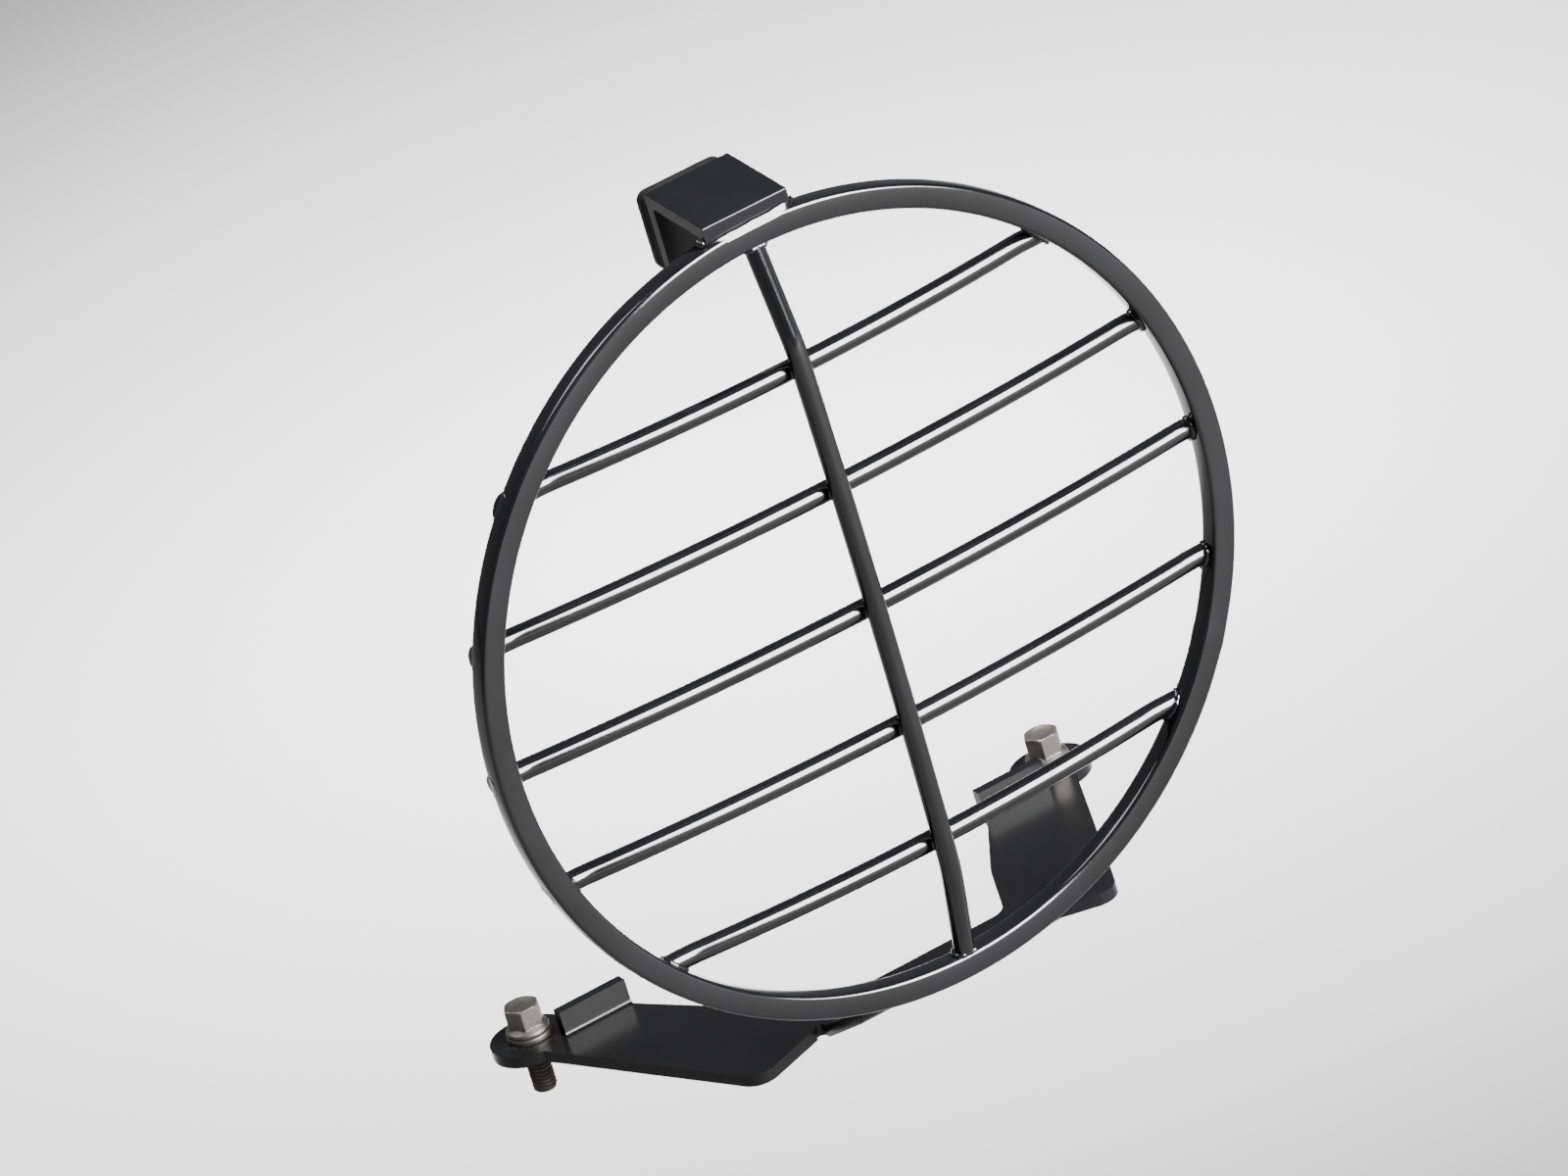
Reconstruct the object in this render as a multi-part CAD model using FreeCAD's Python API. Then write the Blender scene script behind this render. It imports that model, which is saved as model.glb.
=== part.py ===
import math
import os

import FreeCAD
import Part

V = FreeCAD.Vector

# Ring, rolled from square bar
ring_od = 200.0
ring_bar = 6.0
ring_edge = 0.8
# Ring's front face ahead of the bolt line, and its lowest point above the lower bracket's underside
ring_ahead = 92.5
plate_drop = 12.0
# Rods of the grille
rod_d = 5.0
notch_depth = 3.0
rod_bow = 6.4
rod_ease = 30.0
rod_stub = 0.5
set_down = 0.4
crown_r = 1400.0
upright_bend = 28.0
upright_turn = 30.0
upright_slope = math.radians(14.0)
# Sheet of both brackets
sheet = 3.0
fold = 1.0
# Top bracket and its pad
top_width = 23.0
top_back = 28.0
top_clear = 4.0
top_rise = 2.2
flange_length = 22.2
flange_corner = 3.0
pad_thick = 6.5
pad_drop = 1.5
pad_height = 20.0
pad_corner = 2.6
pad_chamfer = 1.6
# Lower bracket
bolt_spacing = 150.0
ear_r = 10.0
arm_outset = 5.85
arm_splay = 0.42
arm_knee = 58.5
wing_corner = 5.5
web_front = 30.0
web_back = 37.8
window_width = 56.6
window_corner = 5.0
tongue_width = 56.0
relief = 2.5
lip_lap = 4.5
lip_root = 0.5
stop_ahead = 8.5
stop_inset = 14.75
stop_width = 18.5
stop_height = 6.3
# Fasteners
bolt_d = 6.0
bolt_neck_d = 5.3
thread_start = 0.3
hole_d = 6.6
head_flats = 8.0
head_height = 5.0
flange_d = 10.8
flange_height = 2.2
shank_length = 16.0
washer_od = 11.0
washer_id = 6.4
washer_thick = 1.6

ring_ro = ring_od / 2
ring_ri = ring_ro - ring_bar
rod_pitch = ring_ri / 3
rod_y = ring_bar - notch_depth + rod_d / 2
sheet_mid = sheet / 2
ring_above = ring_ro + plate_drop
plate_top = -ring_above + sheet
top_height = ring_ro + top_clear
flange_foot = top_height + top_rise - flange_length
bolt_x = bolt_spacing / 2
stop_front = ring_ahead - stop_ahead


def turn(before, at, after, radius):
    if radius == 0:
        return [at]
    back = (before - at).normalize()
    ahead = (after - at).normalize()
    half = back.getAngle(ahead) / 2
    reach = radius / math.tan(half)
    middle = (back + ahead).normalize() * (radius / math.sin(half) - radius)
    return [at + back * reach, at + middle, at + ahead * reach]


def rounded_wire(stops, closed):
    points = [stop[0] for stop in stops]
    after = points[1:] + points[:1]
    turns = [turn(points[i - 1], points[i], after[i], stops[i][1]) for i in range(len(stops))]
    edges = [Part.Arc(*bend).toShape() for bend in turns if len(bend) == 3]
    following = turns[1:] + (turns[:1] if closed else [])
    edges += [Part.makeLine(start[-1], end[0]) for start, end in zip(turns, following)]
    return Part.Wire(Part.sortEdges(edges)[0])


def y_disc(radius, start, length):
    return Part.makeCylinder(radius, length, V(0, start, 0), V(0, 1, 0))


def round_bar(path, diameter):
    start = path.OrderedVertexes[0].Point
    first = path.OrderedEdges[0]
    direction = first.tangentAt(first.FirstParameter)
    section = Part.Wire(Part.makeCircle(diameter / 2, start, direction))
    return path.makePipeShell([section], True, False)


def bow_at(height):
    return rod_bow - crown_r + math.sqrt(crown_r ** 2 - height ** 2)


def rod_notch(height):
    length = ring_od + 2 * ring_bar
    bed = Part.makeCylinder(rod_d / 2, length, V(-length / 2, rod_y, height), V(1, 0, 0))
    mouth = Part.makeBox(length, ring_bar, rod_d, V(-length / 2, rod_y, height - rod_d / 2))
    return bed.fuse(mouth)


def make_ring():
    ring = y_disc(ring_ro, 0, ring_bar).cut(y_disc(ring_ri, 0, ring_bar))
    corners = [edge for edge in ring.Edges if isinstance(edge.Curve, Part.Circle)]
    ring = ring.makeChamfer(ring_edge, corners)
    for step in range(-2, 3):
        ring = ring.cut(rod_notch(step * rod_pitch))
    return ring


def make_rod(height):
    sag = bow_at(height)
    ease_x = math.sqrt(ring_ri ** 2 - (abs(height) + rod_d / 2) ** 2) - 0.5
    both = (ease_x ** 2 + sag ** 2) / (2 * sag)
    bow_r = both - rod_ease
    bow_y = rod_y - sag + bow_r
    swing = math.asin(ease_x / both)

    def on_bow(angle):
        return V(bow_r * math.sin(angle), bow_y - bow_r * math.cos(angle), height)

    def on_ease(side, angle):
        x = ease_x - rod_ease * math.sin(angle)
        return V(side * x, rod_y - rod_ease * (1 - math.cos(angle)), height)

    edges = [Part.Arc(on_bow(-swing), on_bow(0), on_bow(swing)).toShape()]
    for side in (-1, 1):
        edges.append(Part.Arc(on_ease(side, swing), on_ease(side, swing / 2), on_ease(side, 0)).toShape())
        edges.append(Part.makeLine(on_ease(side, 0), V(side * (ring_ro + ring_bar), rod_y, height)))
    rod = round_bar(Part.Wire(Part.sortEdges(edges)[0]), rod_d)
    return rod.common(y_disc(ring_ro + rod_stub, -ring_bar, 3 * ring_bar))


def make_upright(rods):
    path_r = crown_r + rod_d - set_down
    centre_y = rod_y - rod_bow + crown_r
    bend_z = ring_ri - upright_bend
    start = math.asin(bend_z / path_r)

    def on_path(angle):
        return V(0, centre_y - path_r * math.cos(angle), path_r * math.sin(angle))

    edges = [Part.Arc(on_path(-start), on_path(0), on_path(start)).toShape()]
    for side in (-1, 1):
        entry = on_path(side * start)
        corner = V(0, centre_y, 0) + (entry - V(0, centre_y, 0)) * (1 - upright_turn / path_r)

        def on_turn(angle):
            return corner + V(0, -math.cos(angle), side * math.sin(angle)) * upright_turn

        leave = on_turn(upright_slope)
        edges.append(Part.Arc(entry, on_turn((start + upright_slope) / 2), leave).toShape())
        run = V(0, math.sin(upright_slope), side * math.cos(upright_slope)) * upright_bend
        edges.append(Part.makeLine(leave, leave + run))
    upright = round_bar(Part.Wire(Part.sortEdges(edges)[0]), rod_d)
    upright = upright.common(y_disc(ring_ri, -3 * ring_bar, 5 * ring_bar))
    for rod in rods:
        upright = upright.cut(rod)
    return upright


def folded_sheet(stops, middle_x, width):
    points = [(V(middle_x, y, z), inner + sheet_mid if inner else 0) for y, z, inner in stops]
    path = rounded_wire(points, False)
    start = points[0][0]
    across = V(width / 2, 0, 0)
    through = V(1, 0, 0).cross((points[1][0] - start).normalize()) * sheet_mid
    corners = [start + across + through, start - across + through, start - across - through]
    corners += [start + across - through, corners[0]]
    return path.makePipeShell([Part.makePolygon(corners)], True, False)


def make_top_bracket():
    leg_y = ring_bar / 2
    back_y = top_back - sheet_mid
    front_z = top_height - sheet_mid
    stops = [(leg_y, ring_ri, 0), (leg_y, front_z, fold), (back_y, front_z + top_rise, fold)]
    stops.append((back_y, flange_foot, 0))
    bracket = folded_sheet(stops, 0, top_width)
    bracket = bracket.cut(y_disc(ring_ro, -ring_bar, 3 * ring_bar))
    foot = [edge for edge in bracket.Edges if is_flange_corner(edge)]
    return bracket.makeFillet(flange_corner, foot)


def is_flange_corner(edge):
    box = edge.BoundBox
    return box.ZMax < flange_foot + 0.01 and box.YLength > sheet / 2 and box.XLength < 0.01


def make_pad():
    top_z = top_height + top_rise - pad_drop
    pad = Part.makeBox(top_width, pad_thick, pad_height, V(-top_width / 2, top_back, top_z - pad_height))
    upright = [edge for edge in pad.Edges if edge.BoundBox.YLength > pad_thick / 2]
    pad = pad.makeFillet(pad_corner, upright)
    rear = [edge for edge in pad.Edges if edge.BoundBox.YMin > top_back + pad_thick - 0.01]
    return pad.makeChamfer(pad_chamfer, rear)


def half_plan(side):
    wing_x = tongue_width / 2 + relief
    outer_x = bolt_x + arm_outset
    reach = (outer_x - wing_x - arm_splay * (ring_ahead - web_front)) / (1 + arm_splay ** 2)
    window_x = window_width / 2
    knee_x = window_x + arm_splay * (arm_knee - web_back)
    stop_x = bolt_x - stop_inset
    stop_y = stop_front - fold
    stops = [(0, web_front, 0), (wing_x, web_front, 0)]
    stops += [(wing_x + reach, web_front - arm_splay * reach, wing_corner), (outer_x, ring_ahead, 0)]
    stops += [(stop_x + stop_width / 2, ring_ahead, 0), (stop_x + stop_width / 2, stop_y, 0)]
    stops += [(stop_x - stop_width / 2, stop_y, fold), (knee_x, arm_knee, ring_ahead / 3)]
    stops += [(window_x, web_back, window_corner), (0, web_back, 0)]
    outline = rounded_wire([(V(side * x, y, -ring_above), radius) for x, y, radius in stops], True)
    return Part.Face(outline).extrude(V(0, 0, sheet))


def make_tongue():
    lip_y = ring_bar + sheet_mid
    mid_z = plate_top - sheet_mid
    stops = [(web_front + fold, mid_z, 0), (web_front - fold, mid_z, fold)]
    stops += [(lip_y, -ring_ro + lip_root, fold), (lip_y, -ring_ri + 2 * ring_bar, 0)]
    tongue = folded_sheet(stops, 0, tongue_width)
    return tongue.cut(y_disc(ring_ro - lip_lap, -ring_bar, 6 * ring_bar))


def make_lower_bracket():
    mid_z = plate_top - sheet_mid
    stop_y = stop_front + sheet_mid
    bracket = make_tongue()
    for side in (-1, 1):
        bracket = bracket.fuse(half_plan(side))
        ear = Part.makeCylinder(ear_r, sheet, V(side * bolt_x, ring_ahead, -ring_above))
        stop = [(stop_front - 2 * fold, mid_z, 0), (stop_y, mid_z, fold)]
        stop.append((stop_y, plate_top + stop_height, 0))
        bracket = bracket.fuse([ear, folded_sheet(stop, side * (bolt_x - stop_inset), stop_width)])
    for side in (-1, 1):
        hole = Part.makeCylinder(hole_d / 2, 3 * sheet, V(side * bolt_x, ring_ahead, -ring_above - sheet))
        slot_x = side * (tongue_width + relief) / 2
        slot = Part.makeCylinder(relief / 2, 3 * sheet, V(slot_x, web_front, -ring_above - sheet))
        bracket = bracket.cut(hole.fuse(slot))
    return bracket.removeSplitter()


def make_bolt(side):
    seat_z = plate_top + washer_thick
    centre = V(side * bolt_x, ring_ahead, seat_z)
    rim_height = flange_height / 2
    neck_length = washer_thick + sheet + thread_start
    neck = Part.makeCylinder(bolt_neck_d / 2, neck_length, centre, V(0, 0, -1))
    thread_length = shank_length - neck_length
    thread = Part.makeCylinder(bolt_d / 2, thread_length, centre - V(0, 0, neck_length), V(0, 0, -1))
    tip = [edge for edge in thread.Edges if edge.BoundBox.ZMax < seat_z - shank_length + 0.01]
    thread = thread.makeChamfer(bolt_d - bolt_neck_d, tip)
    rim = Part.makeCylinder(flange_d / 2, rim_height, centre)
    cone = Part.makeCone(flange_d / 2, head_flats / 2, rim_height, centre + V(0, 0, rim_height))
    top_z = flange_height + head_height
    corner_r = head_flats / math.sqrt(3)
    corners = [V(math.cos(k * math.pi / 3), math.sin(k * math.pi / 3), 0) * corner_r for k in range(7)]
    base = centre + V(0, 0, rim_height)
    prism = Part.Face(Part.makePolygon([base + corner for corner in corners]))
    prism = prism.extrude(V(0, 0, top_z - rim_height))
    taper = Part.makeCone(corner_r + top_z, corner_r - 0.8, top_z + 1.0, centre)
    return neck.fuse([thread, rim, cone, prism.common(taper)]).removeSplitter()


def make_washer(side):
    centre = V(side * bolt_x, ring_ahead, plate_top)
    disc = Part.makeCylinder(washer_od / 2, washer_thick, centre)
    return disc.cut(Part.makeCylinder(washer_id / 2, washer_thick, centre))


rod_names = ["bar_bottom", "bar_lower", "bar_middle", "bar_upper", "bar_top"]
pieces = {name: make_rod((step - 2) * rod_pitch) for step, name in enumerate(rod_names)}
pieces["vertical_bar"] = make_upright(list(pieces.values()))
pieces["ring"] = make_ring()
pieces["top_bracket"] = make_top_bracket()
pieces["rubber_pad"] = make_pad()
pieces["lower_bracket"] = make_lower_bracket()
for side_name, side in (("left", 1), ("right", -1)):
    pieces["bolt_" + side_name] = make_bolt(side)
    pieces["washer_" + side_name] = make_washer(side)

os.makedirs("parts", exist_ok=True)
for name, shape in pieces.items():
    shape.translate(V(0, -ring_ahead, ring_above))
    shape.exportStep("parts/" + name + ".step")
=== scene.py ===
import math

import bmesh
import bpy
from mathutils import Matrix, Vector


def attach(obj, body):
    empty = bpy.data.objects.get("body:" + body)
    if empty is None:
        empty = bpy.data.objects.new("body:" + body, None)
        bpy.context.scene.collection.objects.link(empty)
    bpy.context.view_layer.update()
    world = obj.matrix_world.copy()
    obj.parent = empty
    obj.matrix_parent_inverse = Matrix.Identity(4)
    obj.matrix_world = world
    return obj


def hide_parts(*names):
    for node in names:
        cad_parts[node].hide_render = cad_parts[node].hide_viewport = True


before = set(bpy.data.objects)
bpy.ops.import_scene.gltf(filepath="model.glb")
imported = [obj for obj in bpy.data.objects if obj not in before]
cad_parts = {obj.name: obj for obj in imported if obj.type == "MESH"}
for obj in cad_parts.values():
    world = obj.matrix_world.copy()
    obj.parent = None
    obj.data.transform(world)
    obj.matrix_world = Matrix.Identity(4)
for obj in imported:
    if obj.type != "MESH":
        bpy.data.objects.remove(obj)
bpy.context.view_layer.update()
print("frame loaded:", len(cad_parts), "nodes")

millimetre = 0.001
boltX = 75.0

# Where the grille sits, in millimetres from the bolt line
grille = {
    "centreY": -92.5,
    "centreZ": 112.0,
    "ringOuter": 100.0,
    "barSize": 6.0,
    "rodDiameter": 5.0,
    "rodDepth": 5.5,
    "rodBow": 6.4,
    "crownRadius": 1400.0,
    "rodLevels": (-2, -1, 0, 1, 2),
}
grille["ringInner"] = grille["ringOuter"] - grille["barSize"]
grille["rodPitch"] = grille["ringInner"] / 3


def fromGrille(x, y, z):
    # y is measured back from the ring's front face, x and z from the ring's centre
    return Vector((x, y + grille["centreY"], z + grille["centreZ"])) * millimetre


# One socket, so that node maths reads as an expression
class Wire:
    def __init__(self, tree, socket):
        self.tree = tree
        self.socket = socket

    def alone(self, operation):
        return addNode(self.tree, "ShaderNodeMath", {"operation": operation}, {0: self})

    def maths(self, operation, other, turned=False):
        first, second = (other, self) if turned else (self, other)
        return addNode(self.tree, "ShaderNodeMath", {"operation": operation}, {0: first, 1: second})

    def __abs__(self):
        return self.alone("ABSOLUTE")

    def __add__(self, other):
        return self.maths("ADD", other)

    def __radd__(self, other):
        return self.maths("ADD", other, True)

    def __sub__(self, other):
        return self.maths("SUBTRACT", other)

    def __rsub__(self, other):
        return self.maths("SUBTRACT", other, True)

    def __mul__(self, other):
        return self.maths("MULTIPLY", other)

    def __truediv__(self, other):
        return self.maths("DIVIDE", other)

    def __pow__(self, other):
        return self.maths("POWER", other)

    def __rpow__(self, other):
        return self.maths("POWER", other, True)


def plug(tree, socket, value):
    if isinstance(value, Wire):
        tree.links.new(value.socket, socket)
    elif isinstance(value, (tuple, list, Vector)):
        size = len(socket.default_value)
        socket.default_value = tuple(value) + (1.0,) * (size - len(value))
    else:
        socket.default_value = value


def addNode(tree, kind, settings=None, values=None, out=0):
    node = tree.nodes.new(kind)
    for name, value in (settings or {}).items():
        setattr(node, name, value)
    for name, value in (values or {}).items():
        plug(tree, node.inputs[name], value)
    return Wire(tree, node.outputs[out])


def split(tree, place):
    parts = tree.nodes.new("ShaderNodeSeparateXYZ")
    plug(tree, parts.inputs[0], place)
    return [Wire(tree, output) for output in parts.outputs]


# Materials, with sizes and heights in millimetres

powderCoat = {
    "deep": (0.0012, 0.0012, 0.0014),
    "lifted": (0.0024, 0.0024, 0.0027),
    "roughness": 0.09,
    "gloss": 0.5,
    "refraction": 1.52,
    "peelSize": 1.3,
    "peelHeight": 0.004,
    "driftSize": 26.0,
    "driftRoughness": 0.05,
}

rodPowderCoat = {**powderCoat, "peelHeight": 0.0024}

bracketPowderCoat = {
    **powderCoat,
    "deep": (0.0026, 0.0026, 0.0028),
    "lifted": (0.0038, 0.0038, 0.0041),
    "roughness": 0.19,
    "gloss": 0.2,
    "peelHeight": 0.002,
}

# The coat is rubbed in patches round each bolt, less and less from inner to outer
rubbedSpot = {
    "inner": 5.6,
    "outer": 7.6,
    "patchSize": 1.1,
    "shade": (0.022, 0.021, 0.019),
    "strength": 0.5,
    "roughness": 0.12,
}

zincPlate = {
    "pale": (0.120, 0.116, 0.102),
    "dark": (0.050, 0.047, 0.041),
    "roughness": 0.42,
    "mottleSize": 2.2,
    "grimeSize": 5.0,
    "grainSize": 0.3,
    "grainHeight": 0.012,
}

mouldedRubber = {
    "base": (0.0030, 0.0030, 0.0030),
    "bloom": (0.0065, 0.0065, 0.0062),
    "roughness": 0.70,
    "gloss": 0.2,
    "bloomSize": 7.0,
    "grainSize": 0.55,
    "grainHeight": 0.03,
}


def startMaterial(name):
    material = bpy.data.materials.new(name)
    material.use_nodes = True
    tree = material.node_tree
    tree.nodes.clear()
    place = addNode(tree, "ShaderNodeTexCoord", out=3)
    return material, tree, place


def endMaterial(material, tree, values):
    surface = addNode(tree, "ShaderNodeBsdfPrincipled", {}, values)
    output = tree.nodes.new("ShaderNodeOutputMaterial")
    plug(tree, output.inputs["Surface"], surface)
    return material


def noise(tree, place, size, detail=2.0):
    return addNode(tree, "ShaderNodeTexNoise", {}, {
        "Vector": place, "Scale": 1 / (size * millimetre), "Detail": detail,
    })


def blend(tree, factor, first, second):
    return addNode(tree, "ShaderNodeMix", {"data_type": "RGBA"}, {0: factor, 6: first, 7: second}, out=2)


def stretch(tree, value, low, high):
    return addNode(tree, "ShaderNodeMapRange", {}, {"Value": value, "From Min": low, "From Max": high})


def bump(tree, shape, height):
    return addNode(tree, "ShaderNodeBump", {}, {
        "Strength": 1.0, "Distance": height * millimetre, "Height": shape,
    })


def aroundBolts(tree, place, inner, outer):
    # 1 inside the inner radius of either bolt, 0 past the outer one
    x, y, _ = split(tree, place)
    across = abs(x) - boltX * millimetre
    distance = (across * across + y * y) ** 0.5
    return stretch(tree, distance, outer * millimetre, inner * millimetre)


def makePowderCoat(name, settings, rubbed=False):
    material, tree, place = startMaterial(name)
    drift = noise(tree, place, settings["driftSize"], 3.0)
    peel = noise(tree, place, settings["peelSize"], 1.5)
    colour = blend(tree, stretch(tree, drift, 0.35, 0.65), settings["deep"], settings["lifted"])
    roughness = settings["roughness"] + drift * settings["driftRoughness"]
    if rubbed:
        patches = stretch(tree, noise(tree, place, rubbedSpot["patchSize"], 4.0), 0.42, 0.60)
        scuff = aroundBolts(tree, place, rubbedSpot["inner"], rubbedSpot["outer"]) * patches
        colour = blend(tree, scuff * rubbedSpot["strength"], colour, rubbedSpot["shade"])
        roughness = roughness + scuff * rubbedSpot["roughness"]
    return endMaterial(material, tree, {
        "Base Color": colour,
        "Roughness": roughness,
        "Normal": bump(tree, peel, settings["peelHeight"]),
        "IOR": settings["refraction"],
        "Specular IOR Level": settings["gloss"],
    })


def makeZinc(name, settings):
    material, tree, place = startMaterial(name)
    mottle = stretch(tree, noise(tree, place, settings["mottleSize"], 5.0), 0.35, 0.68)
    grime = stretch(tree, noise(tree, place, settings["grimeSize"], 4.0), 0.52, 0.70)
    grain = noise(tree, place, settings["grainSize"], 3.0)
    return endMaterial(material, tree, {
        "Base Color": blend(tree, mottle * 0.45 + grime * 0.35, settings["pale"], settings["dark"]),
        "Roughness": settings["roughness"] + mottle * 0.14 + grime * 0.12,
        "Normal": bump(tree, grain, settings["grainHeight"]),
        "Metallic": 1.0,
    })


def makeRubber(name, settings):
    material, tree, place = startMaterial(name)
    bloom = stretch(tree, noise(tree, place, settings["bloomSize"], 5.0), 0.42, 0.72)
    grain = noise(tree, place, settings["grainSize"], 2.0)
    return endMaterial(material, tree, {
        "Base Color": blend(tree, bloom * 0.6, settings["base"], settings["bloom"]),
        "Roughness": settings["roughness"] + bloom * 0.12,
        "Normal": bump(tree, grain, settings["grainHeight"]),
        "Specular IOR Level": settings["gloss"],
    })


ringCoat = makePowderCoat("ring powder coat", powderCoat)
rodCoat = makePowderCoat("rod powder coat", rodPowderCoat)
bracketCoat = makePowderCoat("bracket powder coat", bracketPowderCoat, rubbed=True)
zinc = makeZinc("dull zinc plate", zincPlate)
rubber = makeRubber("moulded rubber", mouldedRubber)
print("materials made")


# Mesh helpers

def finishPiece(mesh, name, slot, material, nodes=(), sharp=34):
    mesh.name = name
    mesh.materials.clear()
    mesh.materials.append(material)
    if sharp:
        mesh.shade_smooth()
        mesh.set_sharp_from_angle(angle=math.radians(sharp))
    piece = bpy.data.objects.new(name, mesh)
    bpy.context.scene.collection.objects.link(piece)
    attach(piece, "root")
    if nodes:
        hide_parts(*nodes)
    return piece


def startCarrier(mesh):
    carrier = bpy.data.objects.new("carrier", mesh)
    bpy.context.scene.collection.objects.link(carrier)
    return carrier


def bakeModifiers(carrier):
    graph = bpy.context.evaluated_depsgraph_get()
    mesh = bpy.data.meshes.new_from_object(carrier.evaluated_get(graph))
    old = carrier.data
    bpy.data.objects.remove(carrier)
    bpy.data.meshes.remove(old)
    return mesh


def outward(mesh):
    shape = bmesh.new()
    shape.from_mesh(mesh)
    bmesh.ops.remove_doubles(shape, verts=shape.verts, dist=1e-7)
    bmesh.ops.recalc_face_normals(shape, faces=shape.faces)
    shape.to_mesh(mesh)
    shape.free()
    return mesh


def rowsToMesh(name, rows, ends="fan"):
    # Rows of points, each a closed loop, skinned one to the next; the ends are capped, or joined to each other
    shape = bmesh.new()
    loops = [[shape.verts.new(point) for point in row] for row in rows]
    chain = loops + loops[:1] if ends == "joined" else loops
    for here, after in zip(chain, chain[1:]):
        for i in range(len(here)):
            j = (i + 1) % len(here)
            shape.faces.new((here[i], here[j], after[j], after[i]))
    if ends == "fan":
        for loop, turned in ((loops[0], True), (loops[-1], False)):
            middle = shape.verts.new(sum((vert.co for vert in loop), Vector()) / len(loop))
            for i in range(len(loop)):
                corners = (loop[i], loop[(i + 1) % len(loop)], middle)
                shape.faces.new(corners[::-1] if turned else corners)
    elif ends == "flat":
        shape.faces.new(loops[0][::-1])
        shape.faces.new(loops[-1])
    bmesh.ops.recalc_face_normals(shape, faces=shape.faces)
    mesh = bpy.data.meshes.new(name)
    shape.to_mesh(mesh)
    shape.free()
    return mesh


def turnedRow(centre, height, radiusAt, count):
    angles = [2 * math.pi * i / count for i in range(count)]
    points = [(math.cos(a) * radiusAt(a), math.sin(a) * radiusAt(a), height) for a in angles]
    return [centre + Vector(point) * millimetre for point in points]


def linesToMesh(name, lines):
    points, edges = [], []
    for line in lines:
        start = len(points)
        points += line
        edges += [(start + i, start + i + 1) for i in range(len(line) - 1)]
    mesh = bpy.data.meshes.new(name)
    mesh.from_pydata(points, edges, [])
    return mesh


# Geometry Nodes helpers

def startTree(name, inputs):
    tree = bpy.data.node_groups.new(name, "GeometryNodeTree")
    tree.interface.new_socket("Geometry", in_out="INPUT", socket_type="NodeSocketGeometry")
    for label, kind in inputs.items():
        tree.interface.new_socket(label, in_out="INPUT", socket_type="NodeSocket" + kind)
    tree.interface.new_socket("Geometry", in_out="OUTPUT", socket_type="NodeSocketGeometry")
    entry = tree.nodes.new("NodeGroupInput")
    return tree, {socket.name: Wire(tree, socket) for socket in entry.outputs if socket.name}


def endTree(tree, geometry, material):
    real = addNode(tree, "GeometryNodeRealizeInstances", {}, {"Geometry": geometry})
    painted = addNode(tree, "GeometryNodeSetMaterial", {}, {"Geometry": real, "Material": material})
    plug(tree, tree.nodes.new("NodeGroupOutput").inputs[0], painted)


def runTree(mesh, tree, values):
    carrier = startCarrier(mesh)
    modifier = carrier.modifiers.new("build", "NODES")
    modifier.node_group = tree
    for item in tree.interface.items_tree:
        if item.in_out == "INPUT" and item.name in values:
            modifier[item.identifier] = values[item.name]
    return bakeModifiers(carrier)


def roundProfile(tree, sides, radius):
    return addNode(tree, "GeometryNodeCurvePrimitiveCircle", {}, {"Resolution": sides, "Radius": radius})


def pushOut(tree, geometry, distance):
    normal = addNode(tree, "GeometryNodeInputNormal")
    offset = addNode(tree, "ShaderNodeVectorMath", {"operation": "SCALE"}, {0: normal, "Scale": distance})
    return addNode(tree, "GeometryNodeSetPosition", {}, {"Geometry": geometry, "Offset": offset})


# Ring, rolled from square bar and butt welded low on the rider's left

ringBar = {
    "cornerRadius": 1.0,
    "cornerSteps": 4,
    "around": 720,
    "seamAngle": math.radians(-31),
    "seamWidth": 2.4,
    "seamHeight": 0.16,
    "seamGrain": 900.0,
    "seamSink": 0.35,
}


def ringTree():
    tree, entry = startTree("rolled ring", {
        "Radius": "Float", "Bar Size": "Float", "Corner Radius": "Float", "Corner Steps": "Int", "Around": "Int",
        "Centre": "Vector", "Seam Angle": "Float", "Seam Width": "Float", "Seam Height": "Float",
        "Material": "Material",
    })
    hoop = roundProfile(tree, entry["Around"], entry["Radius"])
    square = addNode(tree, "GeometryNodeCurvePrimitiveQuadrilateral", {}, {
        "Width": entry["Bar Size"], "Height": entry["Bar Size"],
    })
    section = addNode(tree, "GeometryNodeFilletCurve", {"mode": "POLY"}, {
        "Curve": square, "Count": entry["Corner Steps"], "Radius": entry["Corner Radius"],
    })
    bar = addNode(tree, "GeometryNodeCurveToMesh", {}, {"Curve": hoop, "Profile Curve": section})
    # The weld's dressed hump stands a little proud of the bar
    position = addNode(tree, "GeometryNodeInputPosition")
    x, y, _ = split(tree, position)
    along = (y.maths("ARCTAN2", x) - entry["Seam Angle"]) * entry["Radius"] / entry["Seam Width"]
    hump = math.e ** (along * along * -1.0)
    ripple = addNode(tree, "ShaderNodeTexNoise", {}, {
        "Vector": position, "Scale": ringBar["seamGrain"], "Detail": 1.0,
    })
    bar = pushOut(tree, bar, hump * entry["Seam Height"] * (ripple * 2.0 - ringBar["seamSink"]))
    stood = addNode(tree, "GeometryNodeTransform", {}, {
        "Geometry": bar, "Translation": entry["Centre"], "Rotation": (math.pi / 2, 0.0, 0.0),
    })
    endTree(tree, stood, entry["Material"])
    return tree


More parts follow.
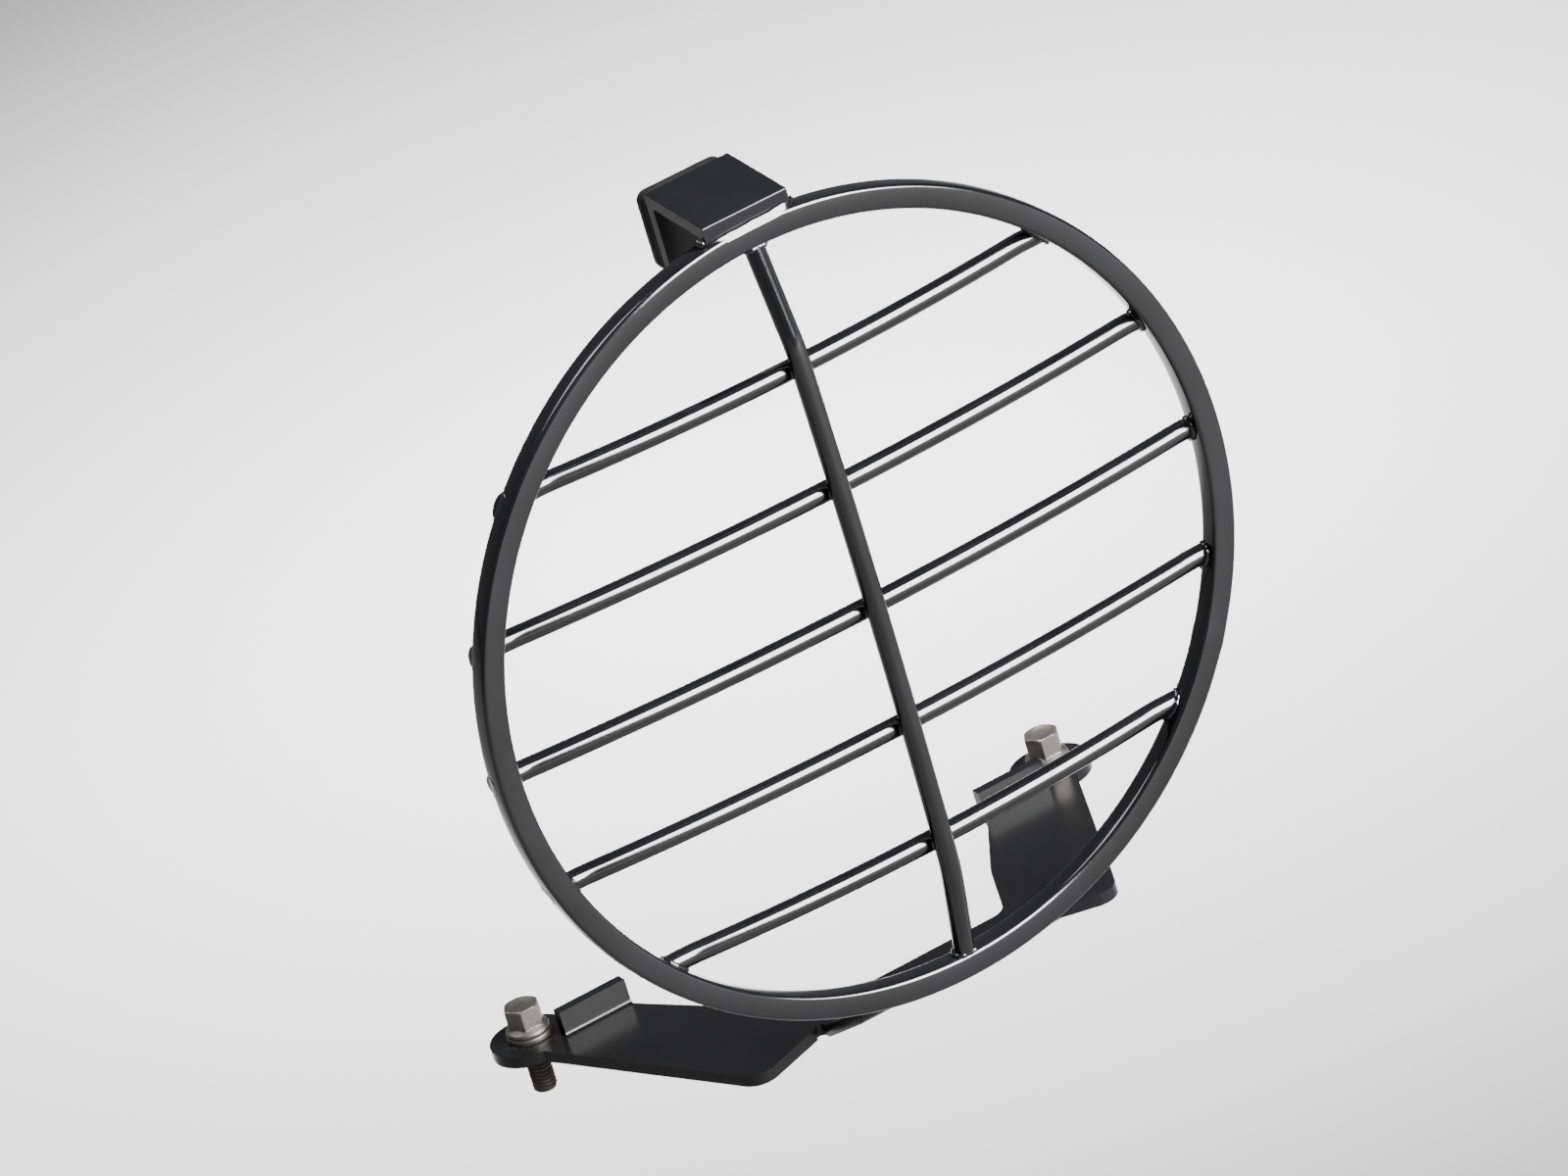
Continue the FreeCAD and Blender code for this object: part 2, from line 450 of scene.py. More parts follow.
ringMesh = runTree(bpy.data.meshes.new("ring seed"), ringTree(), {
    "Radius": (grille["ringOuter"] - grille["barSize"] / 2) * millimetre,
    "Bar Size": grille["barSize"] * millimetre,
    "Corner Radius": ringBar["cornerRadius"] * millimetre,
    "Corner Steps": ringBar["cornerSteps"],
    "Around": ringBar["around"],
    "Centre": fromGrille(0, grille["barSize"] / 2, 0),
    "Seam Angle": ringBar["seamAngle"],
    "Seam Width": ringBar["seamWidth"] * millimetre,
    "Seam Height": ringBar["seamHeight"] * millimetre,
    "Material": ringCoat,
})
finishPiece(outward(ringMesh), "rolled_ring", "ring", ringCoat, ["ring"], sharp=60)
print("ring made")


# Level rods, bowed forward and trimmed about flush with the ring's outer wall

rod = {
    "ease": 30.0,
    "easeInset": 0.5,
    "sides": 32,
    "steps": 80,
    "trim": 99.55,
    "lastStation": 0.3,
    "overrun": 5.0,
    "nodes": ("bar_bottom", "bar_lower", "bar_middle", "bar_upper", "bar_top"),
}
rodRadius = grille["rodDiameter"] / 2
levels = [step * grille["rodPitch"] for step in grille["rodLevels"]]


def bowAt(height):
    crown = grille["crownRadius"]
    return grille["rodBow"] - crown + math.sqrt(crown ** 2 - height ** 2)


def rodDepthAt(x, level):
    # A long bow, then a short ease back to the straight ends that lie in the ring
    sag, ease = bowAt(level), rod["ease"]
    easeX = math.sqrt(grille["ringInner"] ** 2 - (abs(level) + rodRadius) ** 2) - rod["easeInset"]
    both = (easeX ** 2 + sag ** 2) / (2 * sag)
    if abs(x) < (both - ease) * easeX / both:
        return grille["rodDepth"] - sag + both - ease - math.sqrt((both - ease) ** 2 - x ** 2)
    lean = max(easeX - abs(x), 0.0) / ease
    return grille["rodDepth"] - ease * (1 - math.sqrt(1 - lean ** 2))


def rodTree():
    tree, entry = startTree("round rod", {
        "Rod Radius": "Float", "Sides": "Int", "Trim Radius": "Float", "Trim Height": "Float",
        "Material": "Material",
    })
    line = addNode(tree, "GeometryNodeMeshToCurve", {}, {"Mesh": entry["Geometry"]})
    bar = addNode(tree, "GeometryNodeCurveToMesh", {}, {
        "Curve": line, "Profile Curve": roundProfile(tree, entry["Sides"], entry["Rod Radius"]), "Fill Caps": True,
    })
    # Both ends are trimmed to a cylinder about the ring's axis
    x, y, z = split(tree, addNode(tree, "GeometryNodeInputPosition"))
    height = z - entry["Trim Height"]
    limit = (entry["Trim Radius"] * entry["Trim Radius"] - height * height) ** 0.5
    reach = abs(x).maths("MINIMUM", limit)
    trimmed = addNode(tree, "ShaderNodeCombineXYZ", {}, {0: reach * x.alone("SIGN"), 1: y, 2: z})
    bar = addNode(tree, "GeometryNodeSetPosition", {}, {"Geometry": bar, "Position": trimmed})
    endTree(tree, bar, entry["Material"])
    return tree


def rodLine(level):
    inside = math.sqrt(rod["trim"] ** 2 - (abs(level) + rodRadius) ** 2) - rod["lastStation"]
    xs = [inside * (2 * step / rod["steps"] - 1) for step in range(rod["steps"] + 1)]
    end = grille["ringOuter"] + rod["overrun"]
    return [fromGrille(x, rodDepthAt(x, level), level) for x in [-end] + xs + [end]]


levelRodTree = rodTree()
for level, node in zip(levels, rod["nodes"]):
    rodMesh = runTree(linesToMesh(node, [rodLine(level)]), levelRodTree, {
        "Rod Radius": rodRadius * millimetre,
        "Sides": rod["sides"],
        "Trim Radius": rod["trim"] * millimetre,
        "Trim Height": grille["centreZ"] * millimetre,
        "Material": rodCoat,
    })
    finishPiece(outward(rodMesh), "round_" + node, node, rodCoat, [node], sharp=50)

# The upright keeps its CAD shape
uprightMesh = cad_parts["vertical_bar"].data
uprightMesh.materials.clear()
uprightMesh.materials.append(rodCoat)
print("rods made")


# Folded brackets with their cut edges broken

cutEdge = {"width": 0.45, "steps": 3, "angle": 38, "flatWithin": 0.6}

topBracket = {
    "width": 23.0,
    "sheet": 3.0,
    "legFace": 1.5,
    "flangeFace": 28.0,
    "frontTop": 103.87,
    "rearTop": 105.98,
    "outerRound": 0.5,
    "innerRound": 0.4,
    "legSink": 0.3,
    "flangeFoot": 84.0,
    "flangeCorner": 3.0,
    "cornerSteps": 6,
}


def brokenEdges(mesh, name, node, material):
    mesh.shade_smooth()
    carrier = startCarrier(mesh)
    bevel = carrier.modifiers.new("broken edges", "BEVEL")
    bevel.width = cutEdge["width"] * millimetre
    bevel.segments = cutEdge["steps"]
    bevel.limit_method = "ANGLE"
    bevel.angle_limit = math.radians(cutEdge["angle"])
    carrier.modifiers.new("flat faces", "WEIGHTED_NORMAL")
    return finishPiece(bakeModifiers(carrier), name, node, material, [node], sharp=None)


def mergedCopy(node, name):
    # Large flat faces again in place of the CAD mesh's triangles, so that only true edges are broken
    flat = math.radians(cutEdge["flatWithin"])
    shape = bmesh.new()
    shape.from_mesh(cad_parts[node].data)
    bmesh.ops.remove_doubles(shape, verts=shape.verts, dist=2e-6)
    bmesh.ops.dissolve_limit(shape, angle_limit=flat, verts=shape.verts, edges=shape.edges)
    mesh = bpy.data.meshes.new(name)
    shape.to_mesh(mesh)
    shape.free()
    return mesh


def roundedCorner(before, at, after, radius, steps=5):
    back, ahead = (before - at).normalized(), (after - at).normalized()
    half = back.angle(ahead) / 2
    centre = at + (back + ahead).normalized() * (radius / math.sin(half))
    first, last = (at + way * (radius / math.tan(half)) - centre for way in (back, ahead))
    bend = first.angle(last)
    points = []
    for step in range(steps + 1):
        part = step / steps
        points.append(centre + (first * math.sin((1 - part) * bend) + last * math.sin(part * bend)) / math.sin(bend))
    return points


def topBracketRow(x):
    # The sheet's outline at one place across its width: leg, roof and rear flange
    leg, flange, sheet = topBracket["legFace"], topBracket["flangeFace"], topBracket["sheet"]
    outer, inner = topBracket["outerRound"], topBracket["innerRound"]
    slope = (topBracket["rearTop"] - topBracket["frontTop"]) / (flange - leg)
    under = topBracket["frontTop"] - sheet
    foot = math.sqrt(grille["ringOuter"] ** 2 - x ** 2) - topBracket["legSink"]
    corner = topBracket["flangeCorner"]
    past = max(abs(x) - topBracket["width"] / 2 + corner, 0.0)
    flangeFoot = topBracket["flangeFoot"] + corner - math.sqrt(max(corner ** 2 - past ** 2, 0.0))
    outline = [
        (leg, foot, 0),
        (leg, topBracket["frontTop"], outer),
        (flange, topBracket["rearTop"], outer),
        (flange, flangeFoot, 0),
        (flange - sheet, flangeFoot, 0),
        (flange - sheet, under + slope * (flange - sheet - leg), inner),
        (leg + sheet, under + slope * sheet, inner),
        (leg + sheet, foot, 0),
    ]
    corners = [Vector((y, z)) for y, z, _ in outline]
    row = []
    for i, (_, _, radius) in enumerate(outline):
        row += roundedCorner(corners[i - 1], corners[i], corners[i + 1], radius) if radius else [corners[i]]
    return [fromGrille(x, point.x, point.y) for point in row]


def topBracketRows():
    corner, steps = topBracket["flangeCorner"], topBracket["cornerSteps"]
    straight = topBracket["width"] / 2 - corner
    places = [0.0, straight / 3, straight * 2 / 3, straight]
    places += [straight + corner * math.sin(math.pi / 2 * step / steps) for step in range(1, steps + 1)]
    return [topBracketRow(x) for x in [-place for place in places[:0:-1]] + places]


topBracketMesh = rowsToMesh("folded_top_bracket", topBracketRows(), ends="flat")
brokenEdges(topBracketMesh, "folded_top_bracket", "top_bracket", bracketCoat)
lowerBracketMesh = mergedCopy("lower_bracket", "folded_lower_bracket")
brokenEdges(lowerBracketMesh, "folded_lower_bracket", "lower_bracket", bracketCoat)
print("brackets made")


# Rubber pad, moulded with a parting line and a slightly crowned face

pad = {
    "width": 23.0,
    "height": 20.0,
    "thick": 6.5,
    "front": 28.0,
    "top": 104.7,
    "corner": 2.6,
    "leastCorner": 0.5,
    "cornerSteps": 6,
    "frontRound": 0.35,
    "partingPlace": 0.45,
    "partingRows": ((-0.35, 0.0), (-0.12, 0.14), (0.12, 0.14), (0.35, 0.0)),
    "rearRound": 1.6,
    "crown": 0.35,
    "crownReach": 7.6,
    "crownInsets": (2.6, 4.0, 5.6, 7.4, 9.2),
}


def padLoop(y, inset):
    halfWide = pad["width"] / 2 - inset
    halfHigh = pad["height"] / 2 - inset
    corner = max(pad["corner"] - inset, pad["leastCorner"])
    middle = pad["top"] - pad["height"] / 2
    loop = []
    for quarter, (sideX, sideZ) in enumerate(((1, 1), (-1, 1), (-1, -1), (1, -1))):
        for step in range(pad["cornerSteps"] + 1):
            angle = math.pi / 2 * (quarter + step / pad["cornerSteps"])
            x = sideX * (halfWide - corner) + corner * math.cos(angle)
            z = sideZ * (halfHigh - corner) + corner * math.sin(angle)
            loop.append(fromGrille(x, pad["front"] + y, middle + z))
    return loop


def padRows():
    yield padLoop(0.0, pad["frontRound"])
    yield padLoop(pad["frontRound"], 0.0)
    for offset, proud in pad["partingRows"]:
        yield padLoop(pad["thick"] * pad["partingPlace"] + offset, -proud)
    rim = pad["thick"] - pad["crown"]
    for step in range(pad["cornerSteps"] + 1):
        angle = math.pi / 2 * step / pad["cornerSteps"]
        drop = pad["rearRound"] * (1 - math.sin(angle))
        yield padLoop(rim - drop, pad["rearRound"] * (1 - math.cos(angle)))
    for inset in pad["crownInsets"]:
        share = min((inset - pad["rearRound"]) / pad["crownReach"], 1.0)
        yield padLoop(rim + pad["crown"] * math.sin(math.pi / 2 * share), inset)


finishPiece(rowsToMesh("moulded_pad", padRows()), "moulded_pad", "rubber_pad", rubber, ["rubber_pad"])
print("rubber pad made")


# Flange bolts and washers, with heights measured up from the bolt's seat and the washer's underside

bolt = {
    "seat": 4.6,
    "flats": 8.0,
    "cornerCut": 1.143,
    "topInset": 0.12,
    "topSlope": 1.73,
    "headTop": 7.2,
    "headHeights": (2.6, 4.0, 6.0, 6.6, 6.72, 6.84, 6.96, 7.08, 7.2),
    "dish": ((7.2, 3.4), (7.12, 3.1), (7.0, 2.8), (6.96, 1.4)),
    "flangeRadius": 5.4,
    "flangeHeight": 2.2,
    "flangeLow": ((0.0, 0.35), (0.1, 0.1), (0.35, 0.0)),
    "flangeHigh": ((0.3, 0.0), (0.08, 0.08)),
    "coneStart": 0.12,
    "coneStep": 0.11,
    "coneRows": 10,
    "neckRadius": 2.65,
    "neckLength": 4.9,
    "neckFillet": 0.25,
    "threadRadius": 3.0,
    "threadPitch": 1.0,
    "threadDepth": 0.5,
    "threadStep": 0.125,
    "grooveFloor": 1.18,
    "grooveSlope": 2.6,
    "runOutSlope": 1.2,
    "shankLength": 16.0,
    "around": 96,
}

washer = {"base": 3.0, "outer": 5.5, "inner": 3.2, "thick": 1.6, "round": 0.3, "roundMiddle": 0.09, "around": 96}


def hexRadius(angle):
    flat = bolt["flats"] / 2
    return min(flat / math.cos(angle % (math.pi / 3) - math.pi / 6), flat * bolt["cornerCut"])


def headRadius(angle, z):
    rim = bolt["flangeHeight"] / 2
    cone = bolt["flangeRadius"] - (bolt["flangeRadius"] - bolt["flats"] / 2) * (z - rim) / rim
    chamfer = bolt["flats"] / 2 - bolt["topInset"] + (bolt["headTop"] - z) * bolt["topSlope"]
    return max(cone, min(hexRadius(angle), chamfer))


def threadRadius(angle, z):
    turn = (angle / (2 * math.pi) + z / bolt["threadPitch"]) % 1.0
    groove = bolt["threadDepth"] * max(0.0, bolt["grooveFloor"] - abs(turn - 0.5) * bolt["grooveSlope"])
    lead = bolt["neckRadius"] - bolt["neckFillet"] + z + bolt["shankLength"]
    runOut = bolt["neckRadius"] + (-bolt["neckLength"] - z) * bolt["runOutSlope"]
    return min(bolt["threadRadius"] - min(groove, bolt["threadDepth"]), lead, runOut)


def boltRows(centre):
    def row(z, radiusAt):
        return turnedRow(centre, bolt["seat"] + z, lambda angle: radiusAt(angle, z), bolt["around"])

    def plainRow(z, radius):
        return row(z, lambda angle, height: radius)

    threaded = bolt["shankLength"] - bolt["neckLength"]
    steps = int(threaded / bolt["threadStep"])
    for step in range(steps + 1):
        yield row(threaded * step / steps - bolt["shankLength"], threadRadius)
    yield plainRow(-bolt["neckFillet"], bolt["neckRadius"])
    yield plainRow(0.0, bolt["neckRadius"] + bolt["neckFillet"])
    rim = bolt["flangeHeight"] / 2
    for z, inset in bolt["flangeLow"]:
        yield plainRow(z, bolt["flangeRadius"] - inset)
    for drop, inset in bolt["flangeHigh"]:
        yield plainRow(rim - drop, bolt["flangeRadius"] - inset)
    for step in range(bolt["coneRows"]):
        yield row(rim + bolt["coneStart"] + bolt["coneStep"] * step, headRadius)
    for z in bolt["headHeights"]:
        yield row(z, headRadius)
    for z, radius in bolt["dish"]:
        yield plainRow(z, radius)


def washerRows(centre):
    outer, inner, thick = washer["outer"], washer["inner"], washer["thick"]
    edge, near = washer["round"], washer["roundMiddle"]
    profile = [
        (inner, edge), (inner, thick - edge), (inner + near, thick - near), (inner + edge, thick),
        (outer - edge, thick), (outer - near, thick - near), (outer, thick - edge),
        (outer, edge), (outer - near, near), (outer - edge, 0.0), (inner + edge, 0.0), (inner + near, near),
    ]
    for radius, height in profile:
        yield turnedRow(centre, washer["base"] + height, lambda angle: radius, washer["around"])


for side, word in ((1, "left"), (-1, "right")):
    centre = Vector((side * boltX, 0.0, 0.0)) * millimetre
    boltMesh = rowsToMesh("flange_bolt_" + word, boltRows(centre))
    finishPiece(boltMesh, "flange_bolt_" + word, "bolt_" + word, zinc, ["bolt_" + word], sharp=28)
    washerMesh = rowsToMesh("plain_washer_" + word, washerRows(centre), ends="joined")
    finishPiece(washerMesh, "plain_washer_" + word, "washer_" + word, zinc, ["washer_" + word])
print("bolts and washers made")


# Welds, laid along lines on the pieces that they join

weld = {
    "spacing": 0.35,
    "pitch": 1.7,
    "ripple": 0.22,
    "endTaper": 0.6,
    "endSharpness": 9.0,
    "grain": 0.10,
    "grainScale": 650.0,
    "seed": 4.0,
    "sides": 10,
}


def weldTree():
    tree, entry = startTree("weld bead", {
        "Bead Radius": "Float", "Spacing": "Float", "Pitch": "Float", "Ripple": "Float", "Grain": "Float",
        "Sides": "Int", "Seed": "Float", "Material": "Material",
    })
    line = addNode(tree, "GeometryNodeMeshToCurve", {}, {"Mesh": entry["Geometry"]})
    line = addNode(tree, "GeometryNodeResampleCurve", {"mode": "LENGTH"}, {"Curve": line, "Length": entry["Spacing"]})
    factor = addNode(tree, "GeometryNodeSplineParameter")
    length = Wire(tree, factor.socket.node.outputs["Length"])
    wave = abs((length * math.pi / entry["Pitch"]).alone("SINE"))
    ends = 1.0 - abs(factor * 2.0 - 1.0) ** weld["endSharpness"] * weld["endTaper"]
    swell = (1.0 + (wave - 0.5) * entry["Ripple"]) * ends
    bead = addNode(tree, "GeometryNodeCurveToMesh", {}, {
        "Curve": line, "Profile Curve": roundProfile(tree, entry["Sides"], entry["Bead Radius"]),
        "Scale": swell, "Fill Caps": True,
    })
    rough = addNode(tree, "ShaderNodeTexNoise", {"noise_dimensions": "4D"}, {
        "Vector": addNode(tree, "GeometryNodeInputPosition"), "W": entry["Seed"],
        "Scale": weld["grainScale"], "Detail": 2.0,
    })
    bead = pushOut(tree, bead, (rough - 0.5) * 2.0 * entry["Grain"])
    endTree(tree, bead, entry["Material"])
    return tree


beadTree = weldTree()


def layWeld(name, slot, lines, radius, material, seed):
    mesh = runTree(linesToMesh(name, lines), beadTree, {
        "Bead Radius": radius * millimetre,
        "Spacing": weld["spacing"] * millimetre,
        "Pitch": weld["pitch"] * millimetre,
        "Ripple": weld["ripple"],
        "Grain": weld["grain"] * millimetre,
        "Sides": weld["sides"],
        "Seed": weld["seed"] + seed,
        "Material": material,
    })
    return finishPiece(outward(mesh), name, slot, material, sharp=70)


# Beads round the rods' ends: where each line lies, and its bead's radius
rootBead = {"radius": 0.75, "reach": grille["ringInner"] - 0.1, "gap": 0.15}
endBead = {"radius": 0.38, "reach": rod["trim"] + 0.15, "gap": 0.0}
rearBead = {"radius": 0.85, "gap": 0.1, "start": 0.7, "stride": 0.5, "points": 10}
halfTurn = {"angle": 100, "steps": 24}


def aroundRod(side, level, bead):
    # The front half of a rod's outline where it meets the ring's wall
    radius = rodRadius + bead["gap"]
    line = []
    for step in range(halfTurn["steps"] + 1):
        angle = math.radians(2 * halfTurn["angle"] * step / halfTurn["steps"] - halfTurn["angle"])
        z = level + radius * math.sin(angle)
        x = side * math.sqrt(bead["reach"] ** 2 - z ** 2)
        line.append(fromGrille(x, grille["rodDepth"] - radius * math.cos(angle), z))
    return line


def alongRod(side, level, edge):
    # Over the ring's rear face beside the rod
    y = grille["barSize"] + rearBead["gap"]
    z = level + edge * (rodRadius + rearBead["gap"])
    start = grille["ringInner"] + rearBead["start"]
    reaches = [start + rearBead["stride"] * point for point in range(rearBead["points"])]
    return [fromGrille(side * math.sqrt(reach ** 2 - z ** 2), y, z) for reach in reaches]


crossBead = {"radius": 0.55, "circle": 1.75, "sink": 0.2, "steps": 24}


def crossing(level):
    # A small circle between a level rod and the upright over it
    y = grille["rodDepth"] - bowAt(level) - rodRadius + crossBead["sink"]
    angles = [2 * math.pi * step / crossBead["steps"] for step in range(crossBead["steps"] + 1)]
    return [fromGrille(crossBead["circle"] * math.cos(a), y, level + crossBead["circle"] * math.sin(a)) for a in angles]


uprightBead = {
    "radius": 0.75,
    "reach": grille["ringInner"] - 0.1,
    "halfWide": 2.6,
    "halfDeep": 2.7,
    "middle": 2.44,
    "front": 0.7,
    "rear": 5.3,
    "steps": 36,
}


def aroundUprightEnd(side):
    # Round the upright's end on the ring's inner wall, kept between the ring's faces
    loop = []
    for step in range(uprightBead["steps"] + 1):
        angle = 2 * math.pi * step / uprightBead["steps"]
        x = uprightBead["halfWide"] * math.cos(angle)
        y = uprightBead["middle"] + uprightBead["halfDeep"] * math.sin(angle)
        z = side * math.sqrt(uprightBead["reach"] ** 2 - x ** 2)
        loop.append(fromGrille(x, min(max(y, uprightBead["front"]), uprightBead["rear"]), z))
    return loop


sides = (1, -1)
rootLines = [aroundRod(side, level, rootBead) for side in sides for level in levels]
endLines = [aroundRod(side, level, endBead) for side in sides for level in levels]
rearLines = [alongRod(side, level, edge) for side in sides for level in levels for edge in sides]
crossLines = [crossing(level) for level in levels]
uprightLines = [aroundUprightEnd(side) for side in sides]
layWeld("rod_root_welds", "ring", rootLines, rootBead["radius"], rodCoat, 1.0)
layWeld("rod_end_welds", "ring", endLines, endBead["radius"], rodCoat, 2.0)
layWeld("rod_rear_welds", "ring", rearLines, rearBead["radius"], rodCoat, 3.0)
layWeld("crossing_welds", "vertical_bar", crossLines, crossBead["radius"], rodCoat, 4.0)
layWeld("upright_end_welds", "vertical_bar", uprightLines, uprightBead["radius"], rodCoat, 5.0)

# A full smooth fillet runs from the ring's front face up to the leg
fillet = {
    "halfWidth": 12.6,
    "widthUsed": 0.9995,
    "foot": 98.68,
    "rise": 0.3,
    "lift": 0.45,
    "proud": 0.15,
    "root": 1.0,
    "steps": 80,
    "turns": ((0.25, -50.0, 20.0), (1.80, 20.0, 38.0), (0.80, 38.0, 85.0)),
    "turnSteps": 6,
    "bury": 0.1,
    "toe": 0.2,
    "crest": 0.05,
    "growth": 0.010,
    "waves": ((0.03, 0.9, 0.7), (0.012, 2.1, 0.0)),
}


def filletRow(x):
    # The profile is walked upward, turning from the ring's face toward the leg
    place = x / fillet["halfWidth"]
    share = abs(place)
    full = (1 - share ** 4) ** 0.5
    drop = grille["ringOuter"] - math.sqrt(grille["ringOuter"] ** 2 - x ** 2)
    swell = 1 + fillet["growth"] * x + sum(size * math.sin(rate * x + start) for size, rate, start in fillet["waves"])
    root = topBracket["legFace"] + fillet["root"]
    y = -fillet["proud"] * (1 - share ** 2)
    z = fillet["foot"] + fillet["rise"] * place * share + fillet["lift"] * share ** 2
    row = [(root, z - fillet["bury"]), (y + fillet["toe"], z - fillet["bury"]), (y, z)]
    for length, first, last in fillet["turns"]:
        stride = length / fillet["turnSteps"] * swell
        for step in range(fillet["turnSteps"]):
            lean = math.radians(first + (last - first) * (step + 0.5) / fillet["turnSteps"])
            y += stride * math.sin(lean)
            z += stride * math.cos(lean)
            row.append((y, z))
    row.append((root, z + fillet["crest"]))
    return [fromGrille(x, root + (y - root) * full, z - drop) for y, z in row]


filletEnd = fillet["halfWidth"] * fillet["widthUsed"]
filletTurns = [math.pi * (step / fillet["steps"] - 0.5) for step in range(fillet["steps"] + 1)]
filletMesh = rowsToMesh("top_front_weld", [filletRow(filletEnd * math.sin(turn)) for turn in filletTurns])
finishPiece(filletMesh, "top_front_weld", "top_bracket", ringCoat, sharp=50)

# Plain beads go round the leg's sides and back, and along the lower bracket's lip
topBead = {
    "sideRadius": 1.3,
    "rearRadius": 1.0,
    "sideX": 11.75,
    "sideYs": (1.9, 3.0, 4.4),
    "sideLift": 0.2,
    "rearReach": 100.25,
    "rearY": 4.75,
    "rearHalf": 11.4,
    "hook": (11.7, 1.9),
}

lipBead = {
    "radius": 0.9,
    "reach": 95.35,
    "y": 6.25,
    "half": 23.5,
    "stitchReach": 100.25,
    "stitchY": 5.85,
    "stitchStarts": (-26.0, -5.5, 15.0),
    "stitchLength": 11.0,
}


def ringArc(reach, y, low, high, upward=1, count=40):
    xs = [low + (high - low) * step / count for step in range(count + 1)]
    return [fromGrille(x, y, upward * math.sqrt(reach ** 2 - x ** 2)) for x in xs]


def topSideLine(side):
    z = math.sqrt(grille["ringOuter"] ** 2 - topBead["sideX"] ** 2) + topBead["sideLift"]
    return [fromGrille(side * topBead["sideX"], y, z) for y in topBead["sideYs"]]


def topRearLine():
    half, reach = topBead["rearHalf"], topBead["rearReach"]
    hookX, hookY = topBead["hook"]
    hookZ = math.sqrt(reach ** 2 - half ** 2)
    start, end = (fromGrille(side * hookX, hookY, hookZ) for side in (-1, 1))
    return [start] + ringArc(reach, topBead["rearY"], -half, half) + [end]


topSideLines = [topSideLine(side) for side in sides]
layWeld("top_side_welds", "top_bracket", topSideLines, topBead["sideRadius"], rodCoat, 8.0)
layWeld("top_rear_weld", "top_bracket", [topRearLine()], topBead["rearRadius"], bracketCoat, 6.5)
lipLines = [ringArc(lipBead["reach"], lipBead["y"], -lipBead["half"], lipBead["half"], upward=-1)]
for start in lipBead["stitchStarts"]:
    end = start + lipBead["stitchLength"]
    lipLines.append(ringArc(lipBead["stitchReach"], lipBead["stitchY"], start, end, upward=-1))
layWeld("lip_welds", "lower_bracket", lipLines, lipBead["radius"], bracketCoat, 7.0)
print("welds laid")


# Floor, lights and camera

studio = {
    "floorZ": -0.16,
    "floorHalf": 9.0,
    "floorShade": (0.100, 0.100, 0.100),
    "floorDrift": (0.103, 0.103, 0.103),
    "driftSize": 180.0,
    "floorRoughness": 0.85,
    "worldShade": (0.55, 0.56, 0.58),
    "worldStrength": 0.4,
}

shot = {
    "lens": 300.0,
    "sensor": 36.0,
    "near": 0.05,
    "far": 40.0,
    "distance": 3.012,
    "azimuth": -23.64,
    "elevation": 25.36,
    "roll": -16.82,
    "aim": Vector((0.0, -0.050, 0.104)),
}

half = studio["floorHalf"]
floorCorners = [(x, y, studio["floorZ"]) for x, y in ((-half, -half), (half, -half), (half, half), (-half, half))]
floorMesh = bpy.data.meshes.new("floor")
floorMesh.from_pydata(floorCorners, [], [(0, 1, 2, 3)])
floorMaterial, floorTree, floorPlace = startMaterial("pale floor")
floorNoise = noise(floorTree, floorPlace, studio["driftSize"], 3.0)
floorShade = blend(floorTree, floorNoise, studio["floorShade"], studio["floorDrift"])
endMaterial(floorMaterial, floorTree, {"Base Color": floorShade, "Roughness": studio["floorRoughness"]})
floorMesh.materials.append(floorMaterial)
floor = bpy.data.objects.new("floor", floorMesh)
bpy.context.scene.collection.objects.link(floor)

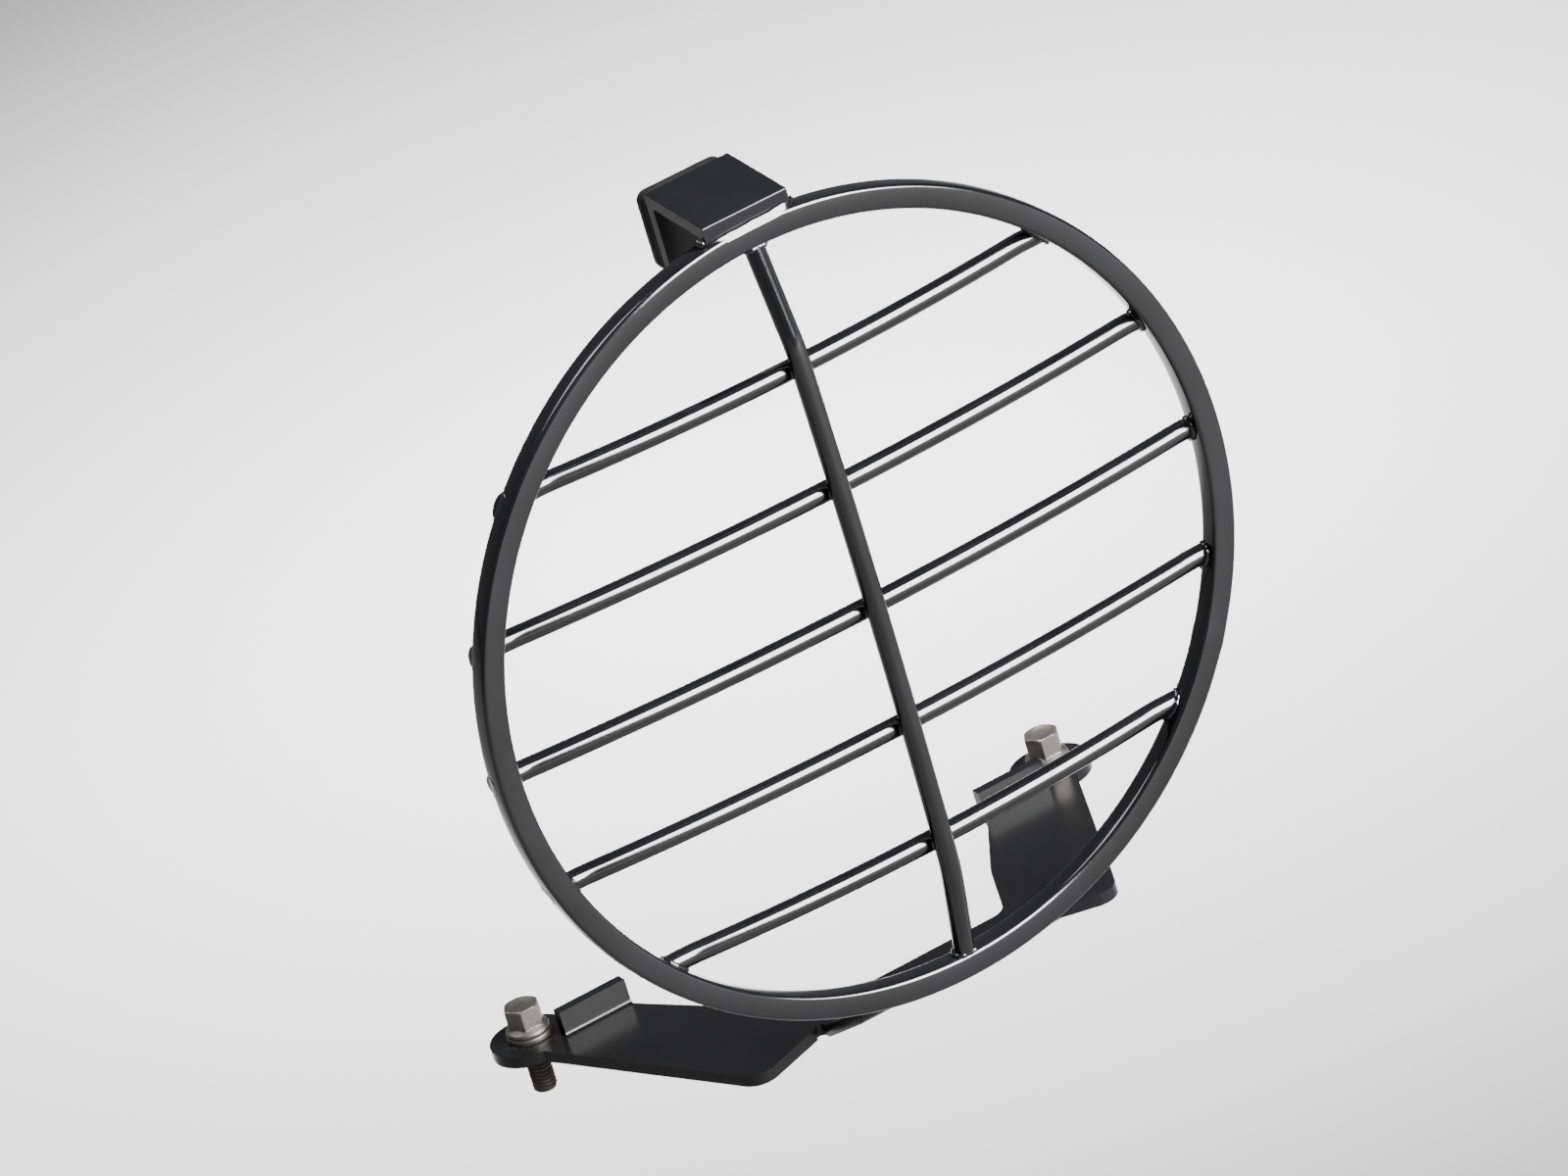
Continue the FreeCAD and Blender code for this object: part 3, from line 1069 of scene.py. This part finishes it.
world = bpy.data.worlds.new("studio")
world.use_nodes = True
background = world.node_tree.nodes["Background"]
background.inputs["Color"].default_value = (*studio["worldShade"], 1.0)
background.inputs["Strength"].default_value = studio["worldStrength"]
bpy.context.scene.world = world


def heading(azimuth, elevation):
    # From the guard outward: azimuth from straight ahead toward the rider's left, elevation above level
    azimuth, elevation = math.radians(azimuth), math.radians(elevation)
    level = math.cos(elevation)
    return Vector((math.sin(azimuth) * level, -math.cos(azimuth) * level, math.sin(elevation)))


def softbox(name, direction, distance, width, height, brightness, target=shot["aim"], spread=180):
    # Brightness is in watts to a square metre of the lamp
    light = bpy.data.lights.new(name, "AREA")
    light.shape = "RECTANGLE"
    light.size = width
    light.size_y = height
    light.energy = brightness * width * height
    light.spread = math.radians(spread)
    lamp = bpy.data.objects.new(name, light)
    lamp.location = shot["aim"] + heading(*direction) * distance
    lamp.rotation_mode = "QUATERNION"
    lamp.rotation_quaternion = (lamp.location - target).to_track_quat("Z", "Y")
    bpy.context.scene.collection.objects.link(lamp)
    return lamp


washTarget = Vector((0.25, 0.5, studio["floorZ"]))
softbox("key softbox", (27, 28), distance=4.6, width=2.9, height=3.8, brightness=240)
softbox("rear softbox", (215, 56), distance=2.8, width=1.2, height=1.2, brightness=48)
softbox("floor wash", (155.6, 71.4), 1.895, 0.15, 0.15, brightness=1680, target=washTarget, spread=32)

cameraData = bpy.data.cameras.new("camera")
camera = bpy.data.objects.new("camera", cameraData)
bpy.context.scene.collection.objects.link(camera)
cameraData.lens = shot["lens"]
cameraData.sensor_width = shot["sensor"]
cameraData.clip_start = shot["near"]
cameraData.clip_end = shot["far"]
spot = fromGrille(0, 0, 0) + heading(shot["azimuth"], shot["elevation"]) * shot["distance"]
camera.location = spot
backward = (spot - shot["aim"]).normalized()
sideways = Vector((0.0, 0.0, 1.0)).cross(backward).normalized()
straightUp = backward.cross(sideways)
roll = math.radians(shot["roll"])
rightward = sideways * math.cos(roll) + straightUp * math.sin(roll)
upward = backward.cross(rightward)
camera.rotation_mode = "QUATERNION"
camera.rotation_quaternion = Matrix((rightward, upward, backward)).transposed().to_quaternion()
bpy.context.scene.camera = camera
print("floor, lights and camera set")
